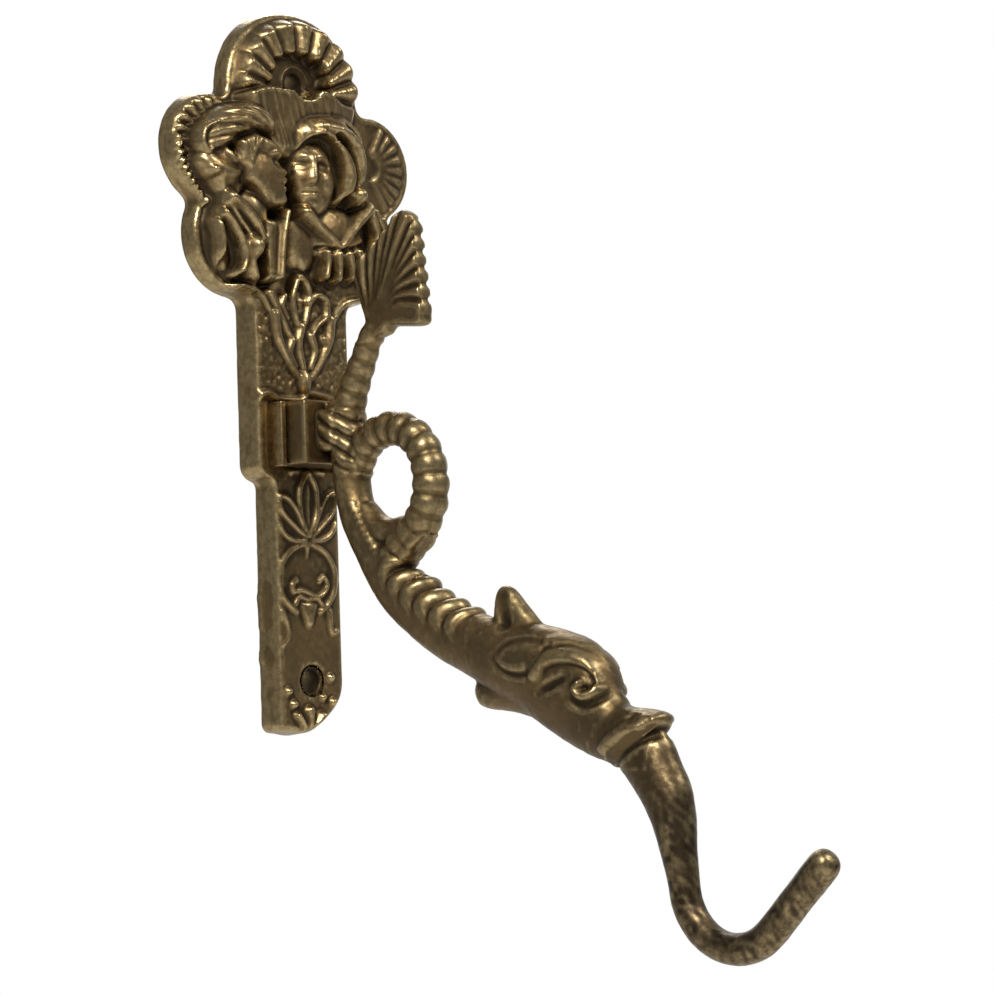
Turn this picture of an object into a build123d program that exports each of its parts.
from build123d import *
import os
from math import cos, hypot, pi, radians, sin

# A cast brass coat hook: a relief backplate, and a sea-beast arm seated between two ribs of it.
# Millimetres. The origin is the centre of the lower screw hole, on the wall plane.
# +X is to the right of someone who faces the hook, -Y comes out of the wall and +Z is up.

# Backplate outline, at the wall
plate_thickness = 5.0
plate_draft = 5.0
tongue_width = 16.8
tongue_drop = 10.3
tongue_corner = 2.4
neck_width = 24.2
neck_bottom = 37.0
shoulder_radius = 3.2
dome_radius = 16.0
dome_centre = 110.0
upper_lobe_radius = 10.5
upper_lobe_spread = 19.0
upper_lobe_centre = 98.0
lower_lobe_radius = 11.0
lower_lobe_spread = 13.7
lower_lobe_centre = 82.0
notch_radius = 1.4

# Wall screws
screw_spacing = 112.0
screw_hole = 4.5
screw_rim = 6.0

# Seat of the arm
block_width = 14.6
block_depth = 8.0
block_height = 12.0
block_centre = 45.4
block_edge = 0.5
jaw_gap = 0.3
jaw_thickness = 1.3
jaw_height = 3.5

# Hidden screw that holds the arm, driven from the wall side
arm_screw_size = 4.0
arm_screw_length = 10.5
arm_screw_head = 7.6
arm_screw_play = 0.2
arm_screw_slot = 1.0
thread_play = 0.05
screw_end_room = 0.6

# Relief of the medallion
rim_width = 2.6
rim_height = 2.2
canopy_flutes = 7
canopy_hub = 103.0
canopy_spread = 50
flute_place = 15.6
flute_length = 5.6
flute_taper = 0.5
flute_width = 4.2
flute_height = 2.6
lobe_ribs = 6
lobe_rib_width = 1.1
lobe_rib_height = 1.2
pillow_sides = 12
pillow_shoulder = 0.35
pillow_crown = 0.15
strand_width = 1.3
strand_height = 0.9
cord_width = 1.9
cord_height = 2.4

# Arm: places are measured out from the front of the block and up from its centre
body_sides = 14
neck_radius = 3.5
trunk_radius = 5.6
trunk_width = 4.5
rod_radius = 2.6
bend_out = 90.2
bend_down = 80.3
bend_radius = 10.3
bend_bands = 6
tip_length = 14.9
tip_angle = 45.0
tip_rounding = ((-0.2, 1.0), (0.55, 0.84), (0.96, 0.32))

# Coil and tail fan
coil_out = 15.1
coil_down = 10.0
coil_radius = 9.55
coil_start = 162
coil_sweep = 266
coil_tube = 3.0
coil_opening = 1.17
coil_sides = 8
rib_depth = 0.55
coil_ribs = 13
trunk_ribs = 7
stem_radius = 3.3
stem_ribs = 6
fan_thickness = 2.6
fan_groove = 0.5
fan_scallops = 6
fan_shoulder_grooves = 4
fin_thickness = 3.4

# Worked out from the sizes above
root_y = -(plate_thickness + block_depth)
front = Plane.XZ.offset(plate_thickness)
arm_side = Plane(origin=(0, root_y, block_centre), x_dir=(0, -1, 0), z_dir=(-1, 0, 0))


def arm_point(out, up):
    """A point on the middle plane of the arm, from its distances out and up."""
    return Vector(0, root_y - out, block_centre + up)


def across(point, heading):
    """A plane across the arm, with its x along X, at a point with a heading (out, up)."""
    return Plane(origin=point, x_dir=(1, 0, 0), z_dir=(0, -heading[0], heading[1]))


def fan_edge_point(share):
    """A point on the outer edge of the tail fan, from its tip at 0 to its heel at 1."""
    out = fan_tip[0] + (fan_heel[0] - fan_tip[0]) * share + fan_bulge * 4 * share * (1 - share)
    return (out, fan_tip[1] + (fan_heel[1] - fan_tip[1]) * share)


def sections(stations, first_heading=None):
    """Planes across the arm at its stations (out, up, half depth, half width), with those halves."""
    last = len(stations) - 1
    for i, (out, up, depth, width) in enumerate(stations):
        before, after = stations[max(i - 1, 0)], stations[min(i + 1, last)]
        heading = (after[0] - before[0], after[1] - before[1])
        if i == 0 and first_heading:
            heading = first_heading
        yield across(arm_point(out, up), heading), width, depth


def spans(pairs):
    """Planes across the arm from a point below to a point above, with half width and half depth."""
    for low_out, low_up, high_out, high_up, width in pairs:
        middle = arm_point((low_out + high_out) / 2, (low_up + high_up) / 2)
        heading = (high_up - low_up, low_out - high_out)
        yield across(middle, heading), width, hypot(high_out - low_out, high_up - low_up) / 2


def oval(width, depth, sides):
    """An oval of flat sides, from its half width and half depth."""
    turns = [2 * pi * (i + 0.5) / sides for i in range(sides)]
    with BuildSketch() as outline:
        with BuildLine():
            Polyline(*[(width * cos(turn), depth * sin(turn)) for turn in turns], close=True)
        make_face()
    return outline.sketch


def pillow(half_length, half_width, height):
    """A rounded form that lies along X on its flat side, with two slopes to its crown."""
    with BuildPart() as form:
        with BuildSketch():
            add(oval(half_length, half_width, pillow_sides))
        extrude(amount=height)
        for share in (pillow_shoulder, pillow_crown):
            chamfer(form.faces().sort_by(Axis.Z)[-1].edges(), share * half_width)
    return form.part


# Rounded forms of the two busts: heads, hair, headdresses, sleeves and chests
bust_places = [
    (-12.3, 93.2, 98),
    (-20.8, 92.4, 60),
    (-17.4, 101.4, 14),
    (-20.8, 79.4, 78),
    (-12.6, 79.0, 102),
    (4.6, 93.4, 84),
    (6.4, 101.6, -22),
    (13.4, 95.6, 108),
    (8.6, 77.4, 90),
    (17.2, 80.4, 116),
]
bust_sizes = [
    (7.4, 5.2, 5.6),
    (5.2, 3.8, 3.6),
    (11.2, 5.4, 5.6),
    (8.8, 4.6, 4.2),
    (6.6, 4.0, 4.6),
    (7.2, 5.0, 5.4),
    (9.4, 5.0, 5.6),
    (7.6, 3.4, 3.8),
    (6.4, 5.0, 4.0),
    (7.4, 3.8, 3.8),
]
bust_forms = [pillow(*size) for size in bust_sizes]

# Raised strands, each an arc or a chain of arcs through its points (X, Z)
cord_strands = [
    [(-24.3, 104.1), (-27.9, 101.0), (-28.0, 96.6), (-26.6, 91.4), (-23.2, 87.4)],
    [(-21.0, 88.6), (-15.0, 86.6), (-9.6, 82.2)],
    [(1.6, 87.0), (4.8, 84.8), (7.8, 81.8)],
    [(14.4, 87.4), (11.2, 84.9), (7.8, 81.8)],
]
lobe_hub = (18.4, 98.0)
lobe_rib_reach = (5.0, 9.8)
lobe_rib_span = (-52, 58)

# Finer strands: the lily on the neck, then the palmette, husks and shell on the tongue
neck_strands = [
    [(-10.1, 72.1), (-6.2, 69.2), (-4.9, 64.4), (-3.4, 59.2), (-0.3, 55.1)],
    [(10.6, 72.1), (6.8, 69.2), (5.4, 64.4), (3.8, 59.2), (0.3, 55.1)],
    [(-0.3, 58.0), (-3.6, 66.6), (0.2, 74.5)],
    [(0.5, 58.0), (3.8, 66.6), (0.4, 74.5)],
]
tongue_strands = [
    [(-0.9, 26.0), (-2.0, 32.6), (0.2, 38.4)],
    [(-0.5, 26.0), (1.9, 32.6), (0.4, 38.4)],
    [(-1.2, 26.0), (-4.9, 29.4), (-6.0, 34.6)],
    [(0.0, 26.0), (3.8, 29.4), (5.2, 34.6)],
]
ring_centre = (-0.7, 18.4)
ring_radius = 6.6
shell_foot = (0.0, -8.4)
shell_rays = 3
shell_reach = 4.4
shell_step = 34

# Outline of one flute of the canopy, wider away from the hub
with BuildSketch() as flute:
    with BuildLine():
        Polyline(
            (-flute_length / 2, -flute_taper * flute_width / 2),
            (flute_length / 2, -flute_width / 2),
            (flute_length / 2, flute_width / 2),
            (-flute_length / 2, flute_taper * flute_width / 2),
            close=True,
        )
    make_face()


# Backplate: one casting, with its relief and the two ribs that hold the arm's block
with BuildPart() as backplate:
    with BuildSketch(Plane.XZ):
        with Locations((0, dome_centre)):
            Circle(dome_radius)
        with Locations((-upper_lobe_spread, upper_lobe_centre), (upper_lobe_spread, upper_lobe_centre)):
            Circle(upper_lobe_radius)
        with Locations((-lower_lobe_spread, lower_lobe_centre), (lower_lobe_spread, lower_lobe_centre)):
            Circle(lower_lobe_radius)
        with Locations((0, (upper_lobe_centre + lower_lobe_centre) / 2)):
            Rectangle(2 * lower_lobe_spread, upper_lobe_centre - lower_lobe_centre)
        with Locations((0, (neck_bottom + lower_lobe_centre) / 2)):
            RectangleRounded(neck_width, lower_lobe_centre - neck_bottom, shoulder_radius)
        half = tongue_width / 2
        with BuildLine():
            FilletPolyline(
                (-half, neck_bottom + shoulder_radius),
                (-half, 1.2 - tongue_drop),
                (-0.1 * half, -tongue_drop),
                (0.7 * half, 4.0 - tongue_drop),
                (half, 7.5 - tongue_drop),
                (half, neck_bottom + shoulder_radius),
                radius=tongue_corner / 2,
                close=True,
            )
        make_face()
        offset(amount=notch_radius)
        offset(amount=-notch_radius)
    extrude(amount=plate_thickness, taper=plate_draft)

    # Screw holes to the wall, and the hole of the arm's own screw, sunk from the wall side
    with Locations(front):
        with Locations((0, 0), (0, screw_spacing)):
            CounterSinkHole(screw_hole / 2, screw_rim / 2)
    with Locations(Plane(origin=(0, 0, block_centre), x_dir=(-1, 0, 0), z_dir=(0, 1, 0))):
        CounterSinkHole(
            arm_screw_size / 2 + arm_screw_play,
            arm_screw_head / 2 + arm_screw_play,
            depth=plate_thickness,
            counter_sink_angle=90,
        )

    # Raised rim of the dome, and the flutes of the shell canopy inside it
    with BuildSketch(front):
        with Locations((0, dome_centre)):
            Circle(dome_radius - 0.5)
            Circle(dome_radius - 0.5 - rim_width, mode=Mode.SUBTRACT)
        with Locations((0, dome_centre - dome_radius)):
            Rectangle(2 * dome_radius, 2 * dome_radius - 3, mode=Mode.SUBTRACT)
    extrude(amount=rim_height)
    with BuildSketch(front):
        with Locations((0, canopy_hub)):
            with PolarLocations(flute_place, canopy_flutes, 90 - canopy_spread, 2 * canopy_spread, endpoint=True):
                add(flute.sketch)
    extrude(amount=flute_height)

    # Two busts that face each other: heads, headdresses, shoulders and sleeves
    for (x, z, turn), form in zip(bust_places, bust_forms):
        with Locations(front):
            with Locations(Location((x, z, 0), (0, 0, turn))):
                add(form)

    # Shell ribs of the right lobe
    rib_inner, rib_outer = lobe_rib_reach
    with BuildSketch(front):
        with Locations(lobe_hub):
            with PolarLocations(
                (rib_inner + rib_outer) / 2,
                lobe_ribs,
                start_angle=lobe_rib_span[0],
                angular_range=lobe_rib_span[1] - lobe_rib_span[0],
                endpoint=True,
            ):
                Rectangle(rib_outer - rib_inner, lobe_rib_width)
    extrude(amount=lobe_rib_height)

    # Thick strands: the cord of the left lobe and the collars
    with BuildSketch(front):
        for points in cord_strands:
            with BuildLine():
                for i in range(0, len(points) - 2, 2):
                    ThreePointArc(*points[i : i + 3])
            trace(line_width=cord_width)
    extrude(amount=cord_height)

    # Fine strands, with the ring round the bell and the shell at the foot
    with BuildSketch(front):
        for points in neck_strands + tongue_strands:
            with BuildLine():
                for i in range(0, len(points) - 2, 2):
                    ThreePointArc(*points[i : i + 3])
            trace(line_width=strand_width)
        with Locations(ring_centre):
            Circle(ring_radius + strand_width / 2)
            Circle(ring_radius - strand_width / 2, mode=Mode.SUBTRACT)
        with Locations(shell_foot):
            with PolarLocations(shell_reach / 2, shell_rays, 90 - shell_step, 2 * shell_step, endpoint=True):
                Rectangle(shell_reach, strand_width)
    extrude(amount=strand_height)

    # Ribs beside the block, drafted like a casting
    jaw_place = block_width / 2 + jaw_gap + jaw_thickness / 2
    with BuildSketch(front):
        with Locations((-jaw_place, block_centre), (jaw_place, block_centre)):
            Rectangle(jaw_thickness, block_height)
    extrude(amount=jaw_height)
backplate.part.label = "backplate"

# Hook arm: one casting. Round stations are (out, up, half depth, half width).
neck_stations = [
    (3.4, 3.6, neck_radius, neck_radius),
    (4.2, -4.4, neck_radius, neck_radius),
    (4.6, -10.6, 0.97 * neck_radius, neck_radius),
    (6.2, -15.9, neck_radius, neck_radius),
    (9.4, -20.9, 1.15 * neck_radius, 1.05 * neck_radius),
]
trunk_path = [
    (12.4, -25.4),
    (14.7, -28.0),
    (19.1, -31.8),
    (24.0, -34.7),
    (29.6, -37.7),
    (35.5, -40.3),
]

# Head and rod: each station spans from a point below (out, up) to a point above, with a half width
head_spans = [
    (40.1, -48.9, 44.1, -36.3, 4.7),
    (45.8, -51.6, 50.8, -37.2, 5.0),
    (50.8, -54.6, 57.2, -38.9, 5.0),
    (53.8, -56.3, 61.4, -40.7, 4.9),
    (56.4, -57.6, 65.2, -44.4, 4.7),
    (59.0, -58.7, 66.9, -48.8, 4.3),
    (62.4, -60.0, 69.6, -51.4, 4.0),
    (65.4, -60.6, 77.2, -52.7, 4.4),
    (66.6, -61.4, 77.9, -54.4, 4.2),
]
rod_spans = [
    (70.4, -64.8, 78.5, -59.4, 3.9),
    (73.0, -68.2, 81.4, -65.2, 3.8),
    (74.8, -71.8, 82.1, -70.2, 3.4),
    (76.2, -76.0, 82.2, -75.2, 2.9),
]
crest_stations = [
    (44.8, -40.0, 4.9, 0.66 * fin_thickness),
    (44.2, -36.4, 4.2, 0.6 * fin_thickness),
    (43.0, -33.6, 3.2, 0.5 * fin_thickness),
    (42.2, -31.0, 1.6, 0.36 * fin_thickness),
]
flap_stations = [
    (50.0, -49.5, 3.4, 1.1 * fin_thickness),
    (43.0, -48.8, 2.9, 0.8 * fin_thickness),
    (36.8, -48.2, 2.2, 0.6 * fin_thickness),
    (34.9, -47.6, 1.3, 0.3 * fin_thickness),
]
stem_foot = (3.4, 2.6)
fan_foot = (11.6, 17.4)
fan_hub = (11.0, 21.5)
fan_tip = (22.1, 37.0)
fan_heel = (24.6, 18.5)
fan_bulge = 0.9
fan_shoulder = (7.9, 30.6)
fan_scallop_radius = 1.15
fan_corners = [
    (9.6, 20.2),
    (7.9, 25.4),
    fan_shoulder,
    (11.5, 33.1),
    (15.8, 35.7),
    (19.6, 38.3),
    fan_tip,
    (24.0, 30.5),
    (24.9, 24.0),
    fan_heel,
    (16.1, 17.9),
    (13.0, 16.0),
]
groove_targets = [fan_edge_point((i + 0.5) / (fan_scallops - 1)) for i in range(fan_scallops - 1)]
groove_targets += [
    tuple(a + (b - a) * (i + 0.5) / fan_shoulder_grooves for a, b in zip(fan_shoulder, fan_tip))
    for i in range(fan_shoulder_grooves)
]

with BuildPart() as hook_arm:
    # Block between the ribs
    with BuildSketch(front):
        with Locations((0, block_centre)):
            Rectangle(block_width, block_height)
    extrude(amount=block_depth)
    chamfer(hook_arm.faces().sort_by(Axis.Y)[0].edges(), block_edge)

    # Body: neck, ribbed trunk, head with its brow and flared lip, rod, bend and blunt tip
    with BuildLine() as trunk_line:
        Spline(*[arm_point(out, up) for out, up in trunk_path])
    with BuildLine(arm_side) as bend_line:
        bend = CenterArc((bend_out, -bend_down), bend_radius, start_angle=180, arc_size=90 + tip_angle)
        straight = Line(bend @ 1, bend @ 1 + (bend % 1) * tip_length)
    for plane, width, depth in sections(neck_stations, first_heading=(0, -1)):
        with BuildSketch(plane):
            add(oval(width, depth, body_sides))
    for i in range(2 * trunk_ribs + 1):
        share = i / (2 * trunk_ribs)
        rib = rib_depth * (i % 2)
        depth = trunk_radius * (0.8 + 0.2 * share)
        with BuildSketch(Plane(trunk_line.line @ share, x_dir=(1, 0, 0), z_dir=trunk_line.line % share)):
            with Locations((0, rib / 2)):
                add(oval(trunk_width * (0.86 + 0.14 * share) + rib / 3, depth + rib / 2, body_sides))
    for plane, width, depth in spans(head_spans + rod_spans):
        with BuildSketch(plane):
            add(oval(width, depth, body_sides))
    for i in range(bend_bands + 1):
        share = i / bend_bands
        with BuildSketch(Plane(bend @ share, x_dir=(1, 0, 0), z_dir=bend % share)):
            add(oval(rod_radius, rod_radius, body_sides))
    for rise, narrow in tip_rounding:
        end = straight @ 1 + (straight % 1) * rise * rod_radius
        with BuildSketch(Plane(end, x_dir=(1, 0, 0), z_dir=straight % 1)):
            add(oval(rod_radius * narrow, rod_radius * narrow, body_sides))
    loft(ruled=True)

    # Coil: a ribbed ring that opens and thickens where it runs back into the trunk
    coil = []
    for i in range(2 * coil_ribs + 1):
        angle = coil_start - coil_sweep * i / (2 * coil_ribs)
        opening = 1 + (coil_opening - 1) * max(0, -angle) / (coil_sweep - coil_start)
        out = coil_out + opening * coil_radius * cos(radians(angle))
        up = opening * coil_radius * sin(radians(angle)) - coil_down
        radius = coil_tube * opening - rib_depth * ((i + 1) % 2)
        coil.append((out, up, radius, radius))
    for plane, width, depth in sections(coil):
        with BuildSketch(plane):
            RegularPolygon(depth, coil_sides, rotation=180 / coil_sides)
    loft(ruled=True)

    # Stem: a tapering row of beads from the neck up to the tail fan
    for i in range(2 * stem_ribs + 1):
        share = i / (2 * stem_ribs)
        out, up = (a + (b - a) * share for a, b in zip(stem_foot, fan_foot))
        heading = (fan_foot[0] - stem_foot[0], fan_foot[1] - stem_foot[1])
        with BuildSketch(across(arm_point(out, up), heading)):
            radius = stem_radius * (1 - 0.36 * share) - 0.8 * rib_depth * ((i + 1) % 2)
            RegularPolygon(radius, coil_sides, rotation=180 / coil_sides)
    loft(ruled=True)

    # Tail fan: a flat kite with a scalloped outer edge and grooves that spread from its foot
    with BuildSketch(arm_side):
        with BuildLine():
            Polyline(*fan_corners, close=True)
        make_face()
        with Locations(*[fan_edge_point(i / (fan_scallops - 1)) for i in range(fan_scallops)]):
            Circle(fan_scallop_radius)
    extrude(amount=fan_thickness / 2, both=True)
    for side in (-1, 1):
        for target in groove_targets:
            reach = (target[0] - fan_hub[0], target[1] - fan_hub[1])
            with BuildSketch(across(arm_point(*fan_hub), reach)):
                with Locations((side * fan_thickness / 2, 0)):
                    RegularPolygon(fan_groove, 4)
            extrude(amount=1.15 * hypot(*reach), mode=Mode.SUBTRACT)

    # Crest fin on the head, and the flap under the jaw
    for fin in (crest_stations, flap_stations):
        for plane, width, depth in sections(fin):
            with BuildSketch(plane):
                add(oval(width, depth, coil_sides))
        loft(ruled=True)

    # Web that joins the block and the neck
    with BuildSketch(Plane.XZ.offset(-root_y)):
        with Locations((0, block_centre - 0.5)):
            Rectangle(1.2 * block_width / 2, block_height / 2)
    extrude(amount=neck_radius)

    # Tapped hole for the hidden screw
    with Locations(Plane(origin=(0, -plate_thickness, block_centre), x_dir=(-1, 0, 0), z_dir=(0, 1, 0))):
        Hole(arm_screw_size / 2 + thread_play, depth=arm_screw_length - plate_thickness + screw_end_room)
hook_arm.part.label = "hook_arm"

# Hidden screw: countersunk, slotted, flush with the wall side of the plate
with BuildPart() as arm_screw:
    with BuildSketch(Plane.YZ):
        with BuildLine():
            cone = (arm_screw_head - arm_screw_size) / 2
            Polyline(
                (0, block_centre),
                (0, block_centre + arm_screw_head / 2),
                (-cone, block_centre + arm_screw_size / 2),
                (-arm_screw_length, block_centre + arm_screw_size / 2),
                (-arm_screw_length, block_centre),
                close=True,
            )
        make_face()
    revolve(axis=Axis((0, 0, block_centre), (0, 1, 0)))
    with BuildSketch(Plane.XZ):
        with Locations((0, block_centre)):
            Rectangle(2 * arm_screw_head, arm_screw_slot)
    extrude(amount=cone / 2, mode=Mode.SUBTRACT)
arm_screw.part.label = "arm_screw"

os.makedirs("parts", exist_ok=True)
export_step(backplate.part, "parts/backplate.step")
export_step(hook_arm.part, "parts/hook_arm.step")
export_step(arm_screw.part, "parts/arm_screw.step")
